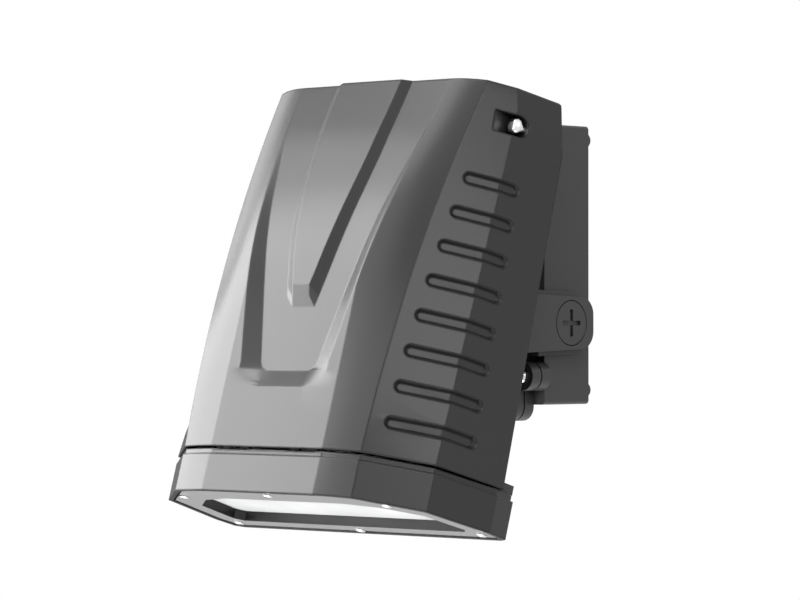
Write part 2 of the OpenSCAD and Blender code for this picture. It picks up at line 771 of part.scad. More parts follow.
module yoke_screws() {
    color(steel)
    yoke_screw_places() translate([0, rim_t + yoke_plate_t, 0]) rotate([-90, 0, 0])
        difference() {
            union() {
                translate([0, 0, -yoke_plate_t - back_wall])
                    cylinder(r = yoke_screw_r, h = yoke_plate_t + back_wall);
                cylinder(r = yoke_screw_head_r, h = yoke_screw_head_t);
            }
            translate([0, 0, yoke_screw_head_t / 2])
                cylinder(r = yoke_screw_r, h = yoke_screw_head_t, $fn = gland_sides);
        }
}

// Outline of the rear housing, inside the hood's wall all round, with its foot at the given height
module rear_outline(margin, foot) {
    top = head_h - hood_z - hood_wall - play * 4;
    inner = wrap_in + margin;
    polygon(mirrored([[hood_rear_w - inner, foot], [shoulder_w - inner, shoulder_z - hood_z],
        [hood_top_rear_w - inner, top - margin]]));
}

module captive_places() {
    for (side = [0, 1])
        mirror([side, 0, 0]) in_head() translate([captive_x, captive_y, pocket_z]) children();
}

module rear_housing() {
    color(dark_paint)
    difference() {
        union() {
            rear_slab(play, rim_t - play) rear_outline(0, play);
            for (side = [-1, 1])
                rear_slab(rim_t - play, fin_d + play)
                    for (i = [0:fin_n - 1])
                        translate([side * (fin_x + i * fin_pitch) - fin_t / 2, fin_z])
                            square([fin_t, fin_h]);
            captive_places() translate([0, captive_tip_y - captive_y - post_h / 2, 0])
                rotate([-90, 0, 0]) cylinder(r = post_r, h = post_h);
            head_slab(band_h, hood_z - band_h + wrap_in - play)
                translate([-foot_w / 2, foot_y]) square([foot_w, foot_d]);
            head_slab(hood_z, lip_h) translate([-lip_half_w, rear_plane_y + play * 2])
                square([2 * lip_half_w, head_d - rear_plane_y]);
        }
        rear_slab(-over, rim_t - back_wall + over) rear_outline(hood_gasket_w * 2, lip_h + hood_gasket_w);
        yoke_screw_places() rotate([-90, 0, 0])
            cylinder(r = yoke_screw_r + run_clear, h = rim_t + over);
        driver_screw_places() translate([0, -over, 0]) rotate([-90, 0, 0])
            cylinder(r = captive_r, h = rim_t * 2);
        band_screw_places() cylinder(r = screw_r + run_clear, h = deck_t + strip_h + foot_d / 2);
        captive_places() translate([0, captive_tip_y - captive_y - post_h / 2 - play, 0])
            rotate([-90, 0, 0])
                cylinder(r1 = post_mouth_r, r2 = captive_r + play, h = post_h / 2 + 2 * play);
        on_rear() translate([gland_x, 0, head_gland_up])
            rotate([-90, 0, 0]) cylinder(r = gland_r + run_clear, h = rim_t + over);
    }
}

module head_gland() {
    color(rubber)
    on_rear() translate([gland_x, rim_t, head_gland_up]) rotate([-90, 0, 0]) gland(back_wall);
}

// Flat outline in the head's X and Y, made a slab from height z
module head_slab(z, t) {
    in_head() translate([0, 0, z]) linear_extrude(height = t) children();
}

module band_ring(d_out, d_in) {
    difference() {
        polygon(inset(band_outline, d_out));
        polygon(inset(band_outline, d_in));
    }
}

// Where the six lens frame screws stand, in the head's X and Y
lens_side_place = [edge_w2, edge_y2] + lens_side_share * ([edge_w3, edge_y3] - [edge_w2, edge_y2])
    + lens_edge_gap * side_normal([edge_w2, edge_y2], [edge_w3, edge_y3]);
lens_screw_places = [[0, frame_front * 0.42], lens_side_place,
    [-lens_side_place[0], lens_side_place[1]],
    [head_half_w - lens_corner_in, head_d - lens_corner_up],
    [-head_half_w + lens_corner_in, head_d - lens_corner_up],
    [0, head_d - band_wall - plate_gap - lens_head_r]];

module at_lens_screws(z) {
    in_head() for (p = lens_screw_places) translate([p[0], p[1], z]) children();
}

// Opening of the lens frame, grown by a border
module lens_mouth(border = 0) {
    polygon(inset(mirrored([[edge_w1 + frame_t, frame_front],
        [edge_w2, edge_y2 + frame_front * 1.1],
        [edge_w3 - frame_side * 0.83, edge_y3 + frame_front * 0.61],
        [head_half_w - frame_side, head_d - frame_front * 0.88],
        [head_half_w - frame_side - frame_t * 2, head_d - frame_front * 0.66]]), -border));
}

module bottom_band() {
    color(paint)
    difference() {
        union() {
            head_slab(0, band_h) band_ring(0, band_wall);
            head_slab(deck_z, deck_t) polygon(inset(band_outline, band_wall - play));
            head_slab(band_h - play, strip_h + play) band_ring(strip_in, strip_in + band_wall);
            at_lens_screws(frame_top) cylinder(r = lens_boss_r, h = deck_z - frame_top + play);
        }
        at_lens_screws(0) cylinder(r = lens_screw_r + run_clear, h = lens_screw_len + frame_top);
        head_slab(deck_z - over, deck_t + 2 * over)
            translate([-sink_w / 4, sink_y0 + board_t])
                square([sink_w / 2, sink_d / 4]);
        head_slab(band_h, strip_h + over)
            for (s = [-1, 1])
                translate([s * hinge_x - hinge_w / 2 - play, -over])
                    square([hinge_w + 2 * play, band_wall + strip_in + 2 * over]);
        band_screw_places() translate([0, 0, -over])
            cylinder(r = screw_r + run_clear, h = deck_t + 2 * over);
    }
}

// Two screws up into the lugs of the heat sink and two into the foot of the rear housing
module band_screw_places() {
    for (s = [-1, 1], p = [[sink_w / 2 + lug_w / 2, lug_screw_y],
        [foot_screw_x, foot_y + foot_d / 2]])
        in_head() translate([s * p[0], p[1], deck_z]) children();
}

module band_screws() {
    color(steel)
    band_screw_places() rotate([180, 0, 0])
        pan_screw(screw_r, deck_t + strip_h + boss_h, screw_head_r, screw_head_t, slot_w);
}

module deck_seal() {
    color(rubber)
    head_slab(band_h, strip_h + play) difference() {
        translate([-sink_w / 2, sink_y0]) square([sink_w, sink_d]);
        translate([-sink_w / 2 + boss_r, sink_y0 + boss_r])
            square([sink_w - 2 * boss_r, sink_d - 2 * boss_r]);
    }
}

module heat_sink() {
    color([0.75, 0.76, 0.77])
    difference() {
        in_head() translate([-sink_w / 2, sink_y0, sink_z]) {
            cube([sink_w, sink_d, sink_base_t]);
            for (i = [0:sink_fin_n - 1])
                translate([i * (sink_w - sink_fin_t) / (sink_fin_n - 1), 0, sink_base_t - play])
                    cube([sink_fin_t, sink_d, sink_h - sink_base_t]);
            translate([-lug_w, sink_d / 2, 0])
                cube([sink_w + 2 * lug_w, lug_screw_y + lug_w / 2 - sink_y0 - sink_d / 2, sink_base_t]);
        }
        band_screw_places() cylinder(r = screw_r + run_clear, h = sink_h);
    }
}

module led_board() {
    color([0.9, 0.9, 0.88])
    head_slab(deck_z - board_t, board_t)
        translate([-sink_w / 2, sink_y0 + boss_r]) square([sink_w, sink_d]);
}

module led_chips() {
    color([0.95, 0.85, 0.4])
    head_slab(deck_z - board_t - chip_t, chip_t)
        for (i = [0:chip_nx - 1], j = [0:chip_ny - 1])
            translate([(i - (chip_nx - 1) / 2) * sink_w / (chip_nx + 1) - chip / 2,
                sink_y0 + boss_r + (j + 1) * sink_d / (chip_ny + 1) - chip / 2])
                square([chip, chip]);
}

module reflector() {
    color([0.92, 0.93, 0.93])
    in_head() {
        low = glass_z + glass_t + play;
        high = deck_z - screw_head_t - play;
        translate([0, 0, low]) linear_extrude(height = board_t) difference() {
            lens_mouth(groove_seat);
            lens_mouth(-board_t);
        }
        translate([0, 0, low + board_t - play]) linear_extrude(height = high - low - board_t + play)
            difference() {
                lens_mouth(-board_t / 2);
                lens_mouth(-board_t - groove_seat);
            }
    }
}

module glass_lens() {
    color([0.9, 0.95, 0.97, 0.6]) head_slab(glass_z, glass_t) lens_mouth(glass_border);
}

module lens_gasket() {
    color(rubber)
    head_slab(glass_z, glass_t) difference() {
        lens_mouth(glass_border + gasket_t);
        lens_mouth(glass_border);
    }
}

module lens_frame() {
    color([0.6, 0.6, 0.6])
    difference() {
        union() {
            head_slab(frame_z, frame_t) difference() {
                polygon(inset(band_outline, band_wall + plate_gap));
                lens_mouth();
            }
            head_slab(frame_z, glass_sink) difference() {
                lens_mouth(frame_lip_t);
                lens_mouth();
            }
        }
        at_lens_screws(0) cylinder(r = lens_screw_r + play, h = glass_z + over);
    }
}

module lens_screws() {
    color(steel)
    at_lens_screws(frame_z) rotate([180, 0, 0])
        pan_screw(lens_screw_r, lens_screw_len, lens_head_r, lens_head_t, slot_w / 2);
}

module driver() {
    color([0.82, 0.82, 0.8])
    on_rear() translate([-driver_size[0] / 2, -driver_gap - driver_size[1], driver_z - hood_z]) {
        cube(driver_size);
        translate([driver_size[0] / 4, driver_size[1] / 4, -boss_h])
            cube([driver_size[0] / 2, driver_size[1] / 2, boss_h + play]);
    }
}

module driver_screw_places() {
    for (s = [-1, 1])
        on_rear() translate([s * (driver_size[0] / 2 + bracket_foot * 0.6), rim_t - back_wall,
            driver_z - hood_z + driver_size[2] / 4]) children();
}

module driver_bracket() {
    color(steel)
    difference() {
        on_rear() for (s = [0, 1])
            mirror([s, 0, 0])
                translate([driver_size[0] / 2, rim_t - back_wall, driver_z - hood_z]) {
                    translate([0, -driver_gap - driver_size[1], 0])
                        cube([bracket_t, driver_gap + driver_size[1], driver_size[2] / 2]);
                    translate([0, -bracket_t, 0]) cube([bracket_foot, bracket_t, driver_size[2] / 2]);
                }
        driver_screw_places() translate([0, -bracket_t * 2, 0]) rotate([-90, 0, 0])
            cylinder(r = captive_r, h = bracket_t * 4);
    }
}

module driver_screws() {
    color(steel)
    driver_screw_places() translate([0, -bracket_t, 0]) rotate([90, 0, 0])
        pan_screw(captive_r - run_clear, bracket_t + back_wall, screw_head_r, screw_head_t, slot_w);
}

// Rings of the hood, moved inwards by d, with the top ring rounded in by its own amount
function ring_at(z, half, d) = [for (p = inset(mirrored(half), d)) [p[0], p[1], z]];

module hood_block() {
    loft(concat([for (z = hood_rows) ring_at(z, hood_half(z), 0)],
        [for (a = [30, 60, 90]) ring_at(head_h - top_round * (1 - sin(a)),
            hood_half(head_h - top_round), top_round * (1 - cos(a)))]));
}

module hood_hollow() {
    loft([for (z = concat([hood_z - over], shell_rows))
        let (h = max(z, hood_z))
        [for (p = inset(mirrored(lengthened(shell_half(h), hood_wall + 2 * over)), hood_wall))
            [p[0], p[1] + (abs(p[0]) < middle_w(h) ? trough_depth(h) : 0),
                min(z, head_h - hood_wall)]]]);
}

// Cut for one groove, drawn from the front facet round the corner onto the side
module groove(z) {
    e2 = edge2(z);
    e3 = edge3(z);
    front_dir = unit(e3 - e2);
    side_dir = unit(hood_rear(z) - e3);
    start = e2 + front_dir * groove_margin;
    finish = e3 + side_dir * (groove_rear_y - e3[1] - groove_end_back) / side_dir[1];
    for (run = [[start, e3, front_dir], [e3, finish, side_dir]])
        hull()
            for (p = [run[0], run[1]])
                translate([p[0], p[1], z])
                    rotate([90, 0, atan2(run[2][1], run[2][0])]) translate([0, 0, -groove_d])
                        cylinder(r1 = groove_floor_r, r2 = 2 * groove_r - groove_floor_r,
                            h = 2 * groove_d, $fn = 16);
}

module pocket_outline(grow = 0) {
    translate([pocket_end_y, pocket_z]) circle(r = pocket_r + grow);
    translate([pocket_y - grow * 2, pocket_z - pocket_r - grow])
        square([pocket_end_y - pocket_y + grow * 2, 2 * (pocket_r + grow)]);
}

module hood() {
    color(paint)
    in_head() difference() {
        union() {
            difference() {
                hood_block();
                hood_hollow();
            }
            intersection() {
                hood_block();
                side_plates(pocket_x - hood_wall, head_half_w) pocket_outline(hood_wall);
            }
        }
        side_plates(pocket_x, head_half_w) pocket_outline();
        for (side = [0, 1])
            mirror([side, 0, 0]) {
                for (i = [0:groove_n - 1]) groove(groove_z + i * groove_pitch);
                translate([captive_x, captive_y, pocket_z]) rotate([-90, 0, 0])
                    cylinder(r = captive_r + play * 2, h = captive_tip_y - captive_y);
                translate([captive_x, retainer_y, pocket_z])
                    rotate([-90, 0, 0]) cylinder(r = captive_collar_r + play, h = post_h);
            }
    }
}

module hood_gasket() {
    color(rubber)
    rear_slab(play - hood_gasket_w / 2, hood_gasket_w / 2) difference() {
        rear_outline(play * 2, wrap_in);
        rear_outline(play * 2 + hood_gasket_w, wrap_in + hood_gasket_w);
        translate([-head_half_w, shoulder_z - hood_z - boss_r * 2])
            square([2 * head_half_w, head_h]);
    }
}

module captive_screws() {
    color(steel)
    captive_places() rotate([90, 0, 0]) {
        pan_screw(captive_r, captive_tip_y - captive_y, captive_head_r, captive_head_t,
            captive_slot_w);
        translate([0, 0, captive_y - pocket_end_y - pocket_r * 0.8])
            cylinder(r = captive_collar_r, h = pocket_end_y + pocket_r * 0.8 - captive_y);
    }
}

module screw_retainers() {
    color(steel)
    captive_places() translate([0, retainer_y - captive_y, 0])
        rotate([-90, 0, 0]) difference() {
            cylinder(r = captive_collar_r - play * 1.5, h = leaf_t);
            translate([0, 0, -over]) cylinder(r = captive_r + run_clear, h = leaf_t + 2 * over);
        }
}

module knuckles(places, w) {
    for (s = [-1, 1], k = places)
        translate([s * hinge_x + k * (hinge_w - w) / 2 - w / 2, hinge_y, hinge_z]) rotate([0, 90, 0])
            difference() {
                cylinder(r = knuckle_r, h = w);
                translate([0, 0, -over]) cylinder(r = hinge_pin_r + run_clear, h = w + 2 * over);
            }
}

module band_hinges() {
    color(steel) in_head() {
        knuckles([0], knuckle_w - play * 2);
        for (s = [-1, 1])
            translate([s * hinge_x - knuckle_w / 2 + play, hinge_y + hinge_pin_r + run_clear * 2, band_h])
                cube([knuckle_w - play * 2, knuckle_r * 3, hinge_z - band_h]);
    }
}

module hood_hinges() {
    color(steel) in_head() {
        knuckles([-1, 1], knuckle_w);
        for (s = [-1, 1], k = [-1, 1])
            translate([s * hinge_x + k * (hinge_w - knuckle_w) / 2 - knuckle_w / 2, 0, 0]) {
                translate([0, hood_wall, hinge_z + hinge_pin_r + play])
                    cube([knuckle_w, leaf_t, leaf_h]);
            }
    }
}

module hinge_pins() {
    color(steel)
    in_head() for (s = [-1, 1])
        translate([s * hinge_x - hinge_w / 2, hinge_y, hinge_z]) rotate([0, 90, 0])
            cylinder(r = hinge_pin_r, h = hinge_w);
}

back_box();
wall_gasket();
cover_gasket();
box_cover();
cover_screws();
conduit_plugs();
wire_grommet();
terminal_block();
ground_screw();
box_gland();
pivot_screws();
friction_washers();
yoke();
yoke_screws();
rear_housing();
head_gland();
bottom_band();
band_screws();
deck_seal();
heat_sink();
led_board();
led_chips();
reflector();
glass_lens();
lens_gasket();
lens_frame();
lens_screws();
driver();
driver_bracket();
driver_screws();
hood();
hood_gasket();
captive_screws();
screw_retainers();
band_hinges();
hood_hinges();
hinge_pins();
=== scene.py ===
import json
import math

import bmesh
import bpy
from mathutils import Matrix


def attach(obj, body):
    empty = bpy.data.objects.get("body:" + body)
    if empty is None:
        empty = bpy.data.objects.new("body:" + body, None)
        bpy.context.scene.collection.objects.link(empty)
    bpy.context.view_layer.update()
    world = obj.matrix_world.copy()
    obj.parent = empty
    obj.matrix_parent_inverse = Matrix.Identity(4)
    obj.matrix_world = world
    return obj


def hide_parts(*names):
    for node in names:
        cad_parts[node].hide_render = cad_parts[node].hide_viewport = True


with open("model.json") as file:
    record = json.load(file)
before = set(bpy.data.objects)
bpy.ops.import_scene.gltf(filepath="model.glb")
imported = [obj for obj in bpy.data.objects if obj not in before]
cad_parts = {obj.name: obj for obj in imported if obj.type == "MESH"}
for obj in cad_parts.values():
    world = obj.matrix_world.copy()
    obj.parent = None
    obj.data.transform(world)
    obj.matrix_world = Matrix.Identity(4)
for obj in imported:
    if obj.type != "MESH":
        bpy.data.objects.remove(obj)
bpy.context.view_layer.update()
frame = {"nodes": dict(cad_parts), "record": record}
nodes = frame["nodes"]

# --- Photographer's view and studio ---------------------------------------------------------
# The light is photographed in mid air from its right-hand front, a little below its middle, through a long
# lens. Soft boxes stand all along its left, a wide one to its right and one under it, in a white room.
eye = bpy.data.objects.new("Eye", bpy.data.cameras.new("Eye"))
bpy.context.scene.collection.objects.link(eye)
eye.location = (1.6238, -1.7799, -0.0441)
eye.rotation_euler = (math.radians(90.529), 0, math.radians(44))
eye.data.lens = 165.23
eye.data.sensor_width = 36
eye.data.clip_end = 60
bpy.context.scene.camera = eye
bpy.context.scene.view_settings.view_transform = "Standard"

studio_middle = -0.12  # along Y: the lamps are set out round the middle of the head


def around(azimuth, elevation, distance):
    """A place in the studio, by its direction from the light in radians. Azimuth 0 is straight out from the
    wall, and plus is to the right."""
    level = distance * math.cos(elevation)
    return (
        level * math.sin(azimuth),
        studio_middle - level * math.cos(azimuth),
        distance * math.sin(elevation),
    )


for name, azimuth, elevation, distance, width, height, watts in (
    ("SoftBoxLeft", -52, 16, 2.2, 0.8, 2.1, 46),
    ("SoftBoxFarLeft", -72, 10, 2.2, 0.92, 1.5, 36),
    ("SoftBoxSide", -97, 12, 2.2, 0.55, 1.3, 4.5),
    ("SoftBoxLeftHigh", -53, 57, 2.2, 1.0, 0.9, 12),
    ("SoftBoxMiddle", -27, 20, 2.2, 1.2, 2.2, 9),
    ("SoftBoxRight", 58, 32, 2.4, 1.7, 1.8, 29),
    ("SoftBoxUnder", -20, -66, 1.6, 1.3, 1.3, 25),
):
    turn, rise = math.radians(azimuth), math.radians(elevation)
    lamp = bpy.data.objects.new(name, bpy.data.lights.new(name, "AREA"))
    bpy.context.scene.collection.objects.link(lamp)
    lamp.location = around(turn, rise, distance)
    lamp.rotation_euler = (math.pi / 2 - rise, 0, turn)
    lamp.data.shape = "RECTANGLE"
    lamp.data.size = width
    lamp.data.size_y = height
    lamp.data.energy = watts


def maths(tree, operation, *terms):
    """A Math node whose terms are numbers or outputs of other nodes. Gives back its output."""
    node = tree.nodes.new("ShaderNodeMath")
    node.operation = operation
    for socket, term in zip(node.inputs, terms):
        if isinstance(term, bpy.types.NodeSocket):
            tree.links.new(term, socket)
        else:
            socket.default_value = term
    return node.outputs[0]


def one_or_other(tree, share, first, second):
    """A Mix Shader: the second shader by the share and the first one for the rest. Gives back its output."""
    node = tree.nodes.new("ShaderNodeMixShader")
    for socket, output in zip(node.inputs, (share, first, second)):
        tree.links.new(output, socket)
    return node.outputs[0]


room = bpy.data.worlds.new("Room")
bpy.context.scene.world = room
room.use_nodes = True
sky = room.node_tree
sky.nodes.clear()


def room_light(strength):
    """White light from all round at a strength. Gives back its output."""
    light = sky.nodes.new("ShaderNodeBackground")
    light.inputs["Color"].default_value = (1, 1, 1, 1)
    light.inputs["Strength"].default_value = strength
    return light.outputs[0]


# White to the camera, in mirrors and through glass, and a weak fill for the rest
path = sky.nodes.new("ShaderNodeLightPath")
seen = maths(sky, "MAXIMUM", path.outputs["Is Camera Ray"], path.outputs["Is Glossy Ray"])
shown = maths(sky, "MAXIMUM", seen, path.outputs["Is Transmission Ray"])
fill, white = room_light(strength=0.1), room_light(strength=1.0)
room_end = sky.nodes.new("ShaderNodeOutputWorld")
sky.links.new(one_or_other(sky, shown, fill, white), room_end.inputs["Surface"])

# --- Floor ----------------------------------------------------------------------------------
# The studio's pale painted floor lies nearly two metres below the light, as under a light on a wall. It is
# white in whatever mirrors it, and a little lifted to the camera, so that it looks pale from above too.
floor_level = -1.9
bpy.ops.object.select_all(action="DESELECT")
bpy.ops.mesh.primitive_circle_add(vertices=64, radius=6, fill_type="NGON", location=(0, 0, floor_level))
floor = bpy.context.object
floor.name = "Floor"
bpy.ops.object.transform_apply(location=True, rotation=True, scale=True)


def new_finish(name):
    """A new material. Gives back the material, its node tree and its Principled shader."""
    finish = bpy.data.materials.new(name)
    finish.use_nodes = True
    return finish, finish.node_tree, finish.node_tree.nodes["Principled BSDF"]


pale, ground, sheet = new_finish("PaleFloor")
sheet.inputs["Base Color"].default_value = (0.9, 0.9, 0.9, 1)
sheet.inputs["Roughness"].default_value = 0.9
sheet.inputs["Emission Color"].default_value = (1, 1, 1, 1)
bright = ground.nodes.new("ShaderNodeEmission")
bright.inputs["Strength"].default_value = 1.0
ray = ground.nodes.new("ShaderNodeLightPath")
camera_lift = 0.45
lifted = maths(ground, "MULTIPLY", ray.outputs["Is Camera Ray"], camera_lift)
mirrored = maths(ground, "MAXIMUM", ray.outputs["Is Glossy Ray"], ray.outputs["Is Transmission Ray"])
ground.links.new(lifted, sheet.inputs["Emission Strength"])
ground.links.new(
    one_or_other(ground, mirrored, sheet.outputs[0], bright.outputs[0]),
    ground.nodes["Material Output"].inputs["Surface"],
)
floor.data.materials.append(pale)

# --- Black flag -----------------------------------------------------------------------------
# A matt black board stands behind the light's left side, out of the picture. It is mirrored only in the faces
# that turn away to the left, and gives that side its dark outline against the white room.
flag_azimuth = math.radians(-142)
flag_distance, flag_middle = 2.0, 0.2
flag_width, flag_height = 2.2, 2.6
bpy.ops.object.select_all(action="DESELECT")
bpy.ops.mesh.primitive_plane_add(size=1, location=(0, 0, 0))
flag = bpy.context.object
flag.name = "BlackFlag"
bpy.ops.object.mode_set(mode="EDIT")
bpy.ops.transform.resize(value=(flag_width, flag_height, 1))
bpy.ops.object.mode_set(mode="OBJECT")
flag.rotation_euler = (math.pi / 2, 0, flag_azimuth)
flag.location = around(flag_azimuth, 0, flag_distance)
flag.location.z = flag_middle
bpy.ops.object.transform_apply(location=True, rotation=True, scale=True)
flag.visible_camera = False
flag.visible_diffuse = False
flag.visible_transmission = False
flag.visible_shadow = False
flag_black, _, board = new_finish("FlagBlack")
board.inputs["Base Color"].default_value = (0.01, 0.01, 0.01, 1)
board.inputs["Roughness"].default_value = 0.9
board.inputs["Specular IOR Level"].default_value = 0.1
flag.data.materials.append(flag_black)

# --- Wall box -------------------------------------------------------------------------------
# The wiring box and its front cover are aluminium castings with a satin grey powder coat. The coat has a
# fine orange peel, drifts a little in tone and rounds every edge; painted shade darkens it deep in the joints
# and in a thin dark line along its edges.


def new_effect(name, taken, given):
    """An empty node group with the named sockets that it takes and gives. Gives back the group, its start and
    its end."""
    group = bpy.data.node_groups.new(name, "ShaderNodeTree")
    for way, sockets in (("INPUT", taken), ("OUTPUT", given)):
        for label, kind in sockets:
            group.interface.new_socket(label, in_out=way, socket_type="NodeSocket" + kind)
    return group, group.nodes.new("NodeGroupInput"), group.nodes.new("NodeGroupOutput")


def noise(tree, where, scale, detail):
    """A Noise Texture over a place. Its scale and detail are numbers or outputs. Gives back its value."""
    node = tree.nodes.new("ShaderNodeTexNoise")
    tree.links.new(where, node.inputs["Vector"])
    for label, value in (("Scale", scale), ("Detail", detail)):
        if isinstance(value, bpy.types.NodeSocket):
            tree.links.new(value, node.inputs[label])
        else:
            node.inputs[label].default_value = value
    return node.outputs["Fac"]


def span(tree, value, low, high, begin=0, end=1):
    """A Map Range node that turns the span from begin to end into the one from low to high. Gives back its
    result."""
    node = tree.nodes.new("ShaderNodeMapRange")
    tree.links.new(value, node.inputs["Value"])
    for label, number in (("From Min", begin), ("From Max", end), ("To Min", low), ("To Max", high)):
        node.inputs[label].default_value = number
    return node.outputs["Result"]


def toned(tree, colour, share):
    """A colour made darker or lighter by a share. Gives back the result."""
    node = tree.nodes.new("ShaderNodeVectorMath")
    node.operation = "SCALE"
    tree.links.new(colour, node.inputs[0])
    tree.links.new(share, node.inputs["Scale"])
    return node.outputs["Vector"]


def powder_coat_and_shade_effect():
    """Node group: tone, sheen and normal of sprayed powder over a casting with rounded edges, and painted
    shade deep in its joints and in a thin dark line along its edges.
    """
    group, start, end = new_effect(
        "PowderCoatAndPaintedShade",
        taken=(("Colour", "Color"), ("Roughness", "Float"), ("Edge", "Float"), ("Line", "Float")),
        given=(("Colour", "Color"), ("Roughness", "Float"), ("Normal", "Vector")),
    )
    new, link = group.nodes.new, group.links.new
    place = new("ShaderNodeTexCoord").outputs["Object"]
    peel = noise(group, place, scale=900, detail=2)
    drift = noise(group, place, scale=9, detail=3)
    # Painted shade deep in joints
    depth = new("ShaderNodeAmbientOcclusion")
    depth.samples = 8
    depth.inputs["Distance"].default_value = 0.006
    painted_joint_shade = span(group, depth.outputs["AO"], low=0.12, high=1, begin=0.15, end=0.8)
    # Painted shade: a thin dark line where two faces meet, where the rounded normal turns away from the flat
    # one
    edge = new("ShaderNodeBevel")
    edge.samples = 6
    link(start.outputs["Edge"], edge.inputs["Radius"])
    turned = new("ShaderNodeVectorMath")
    turned.operation = "DOT_PRODUCT"
    link(edge.outputs["Normal"], turned.inputs[0])
    link(new("ShaderNodeNewGeometry").outputs["Normal"], turned.inputs[1])
    on_edge = span(group, turned.outputs["Value"], low=0, high=1, begin=0.999, end=0.96)
    painted_edge_shade = maths(group, "MULTIPLY", on_edge, start.outputs["Line"])
    shade = maths(group, "MULTIPLY", painted_joint_shade, maths(group, "SUBTRACT", 1, painted_edge_shade))
    tone = maths(group, "MULTIPLY", shade, span(group, drift, low=0.95, high=1.05))
    link(toned(group, start.outputs["Colour"], tone), end.inputs["Colour"])
    spread = span(group, peel, low=-0.03, high=0.03)
    link(maths(group, "ADD", start.outputs["Roughness"], spread), end.inputs["Roughness"])
    grain = new("ShaderNodeBump")
    grain.inputs["Strength"].default_value = 0.06
    grain.inputs["Distance"].default_value = 0.0004
    link(peel, grain.inputs["Height"])
    link(edge.outputs["Normal"], grain.inputs["Normal"])
    link(grain.outputs["Normal"], end.inputs["Normal"])
    return group


powder_and_painted_shade = powder_coat_and_shade_effect()


def dressed(name, effect, values):
    """A material whose colour, roughness and normal come from an effect with its own values. Gives back the
    material and its Principled shader."""
    finish, tree, skin = new_finish(name)
    node = tree.nodes.new("ShaderNodeGroup")
    node.node_tree = effect
    for label, value in values.items():
        node.inputs[label].default_value = value
    for given, socket in (("Colour", "Base Color"), ("Roughness", "Roughness"), ("Normal", "Normal")):
        tree.links.new(node.outputs[given], skin.inputs[socket])
    return finish, skin


def coated(name, colour, roughness, specular, radius, line):
    """Powder-coated metal: edges are rounded to the radius, in metres, and darkened by the line's share as
    painted shade, and the joints get painted shade.
    """
    values = {"Colour": (*colour, 1), "Roughness": roughness, "Edge": radius, "Line": line}
    finish, skin = dressed(name, powder_and_painted_shade, values)
    skin.inputs["Specular IOR Level"].default_value = specular
    return finish


def fused(node, name, finishes, angle=30):
    """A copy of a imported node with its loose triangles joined, so that faces that meet below the angle shade
    as one. It stands for the node and rides with it."""
    bpy.ops.object.select_all(action="DESELECT")
    piece = nodes[node].copy()
    piece.data = nodes[node].data.copy()
    piece.parent = None
    piece.name = name
    bpy.context.scene.collection.objects.link(piece)
    piece.select_set(True)
    bpy.context.view_layer.objects.active = piece
    bpy.ops.object.mode_set(mode="EDIT")
    bpy.ops.mesh.select_all(action="SELECT")
    bpy.ops.mesh.remove_doubles(threshold=0.00002)
    bpy.ops.mesh.customdata_custom_splitnormals_clear()
    bpy.ops.object.mode_set(mode="OBJECT")
    bpy.ops.object.shade_smooth_by_angle(angle=math.radians(angle))
    piece.data.materials.clear()
    for finish in finishes:
        piece.data.materials.append(finish)
    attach(piece, next(b for b, held in frame["record"]["behaviour"]["bodies"].items() if node in held))
    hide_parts(node)
    return piece


def edged(piece, width, sharp=35, flat=0.5, smooth=30):
    """Rounds a casting's edges that are sharper than an angle by a two-step bevel, once the faces that lie
    flat to each other are joined. The angles are in degrees."""
    bpy.ops.object.select_all(action="DESELECT")
    piece.select_set(True)
    bpy.context.view_layer.objects.active = piece
    bpy.ops.object.mode_set(mode="EDIT")
    bpy.ops.mesh.select_all(action="SELECT")
    bpy.ops.mesh.dissolve_limited(angle_limit=math.radians(flat))
    bpy.ops.object.mode_set(mode="OBJECT")
    bevel = piece.modifiers.new("Edges", "BEVEL")
    bevel.width = width
    bevel.segments = 2
    bevel.limit_method = "ANGLE"
    bevel.angle_limit = math.radians(sharp)
    bevel.use_clamp_overlap = True
    bpy.ops.object.modifier_apply(modifier=bevel.name)
    bpy.ops.object.shade_smooth_by_angle(angle=math.radians(smooth))


box_paint = coated("BoxPaint", (0.07, 0.07, 0.071), roughness=0.3, specular=0.3, radius=0.0005, line=0.3)
back_box = fused("back_box", "BoxCasting", [box_paint])
edged(back_box, width=0.0007)
cover = fused("box_cover", "CoverCasting", [box_paint])
edged(cover, width=0.0009)
# The front faces of the cover's ears get a near-black coat as painted shade, for the head's shade on them
ear_painted_shade = coated("EarPaintedShade", (0.012, 0.012, 0.012), roughness=0.3, specular=0.3, radius=0.0005, line=0.0)
cover.data.materials.append(ear_painted_shade)
ear_start, least_ahead = 0.0665, 0.9
for side in (-1, 1):
    bpy.ops.object.mode_set(mode="EDIT")
    bpy.ops.mesh.select_all(action="SELECT")
    bpy.ops.mesh.bisect(plane_co=(side * ear_start, 0, 0), plane_no=(1, 0, 0))
    bpy.ops.object.mode_set(mode="OBJECT")
for face in cover.data.polygons:
    if -face.normal.y > least_ahead and abs(face.center.x) > ear_start:
        face.material_index = 1
plugs = fused("conduit_plugs", "EntryPlugs", [box_paint])
edged(plugs, width=0.0004)

# --- Rubber and plastic of the box ----------------------------------------------------------
# Gaskets and the wire grommet are black rubber with a fine matt grain. The cable glands are moulded in black
# nylon, and the terminal block in cream plastic.


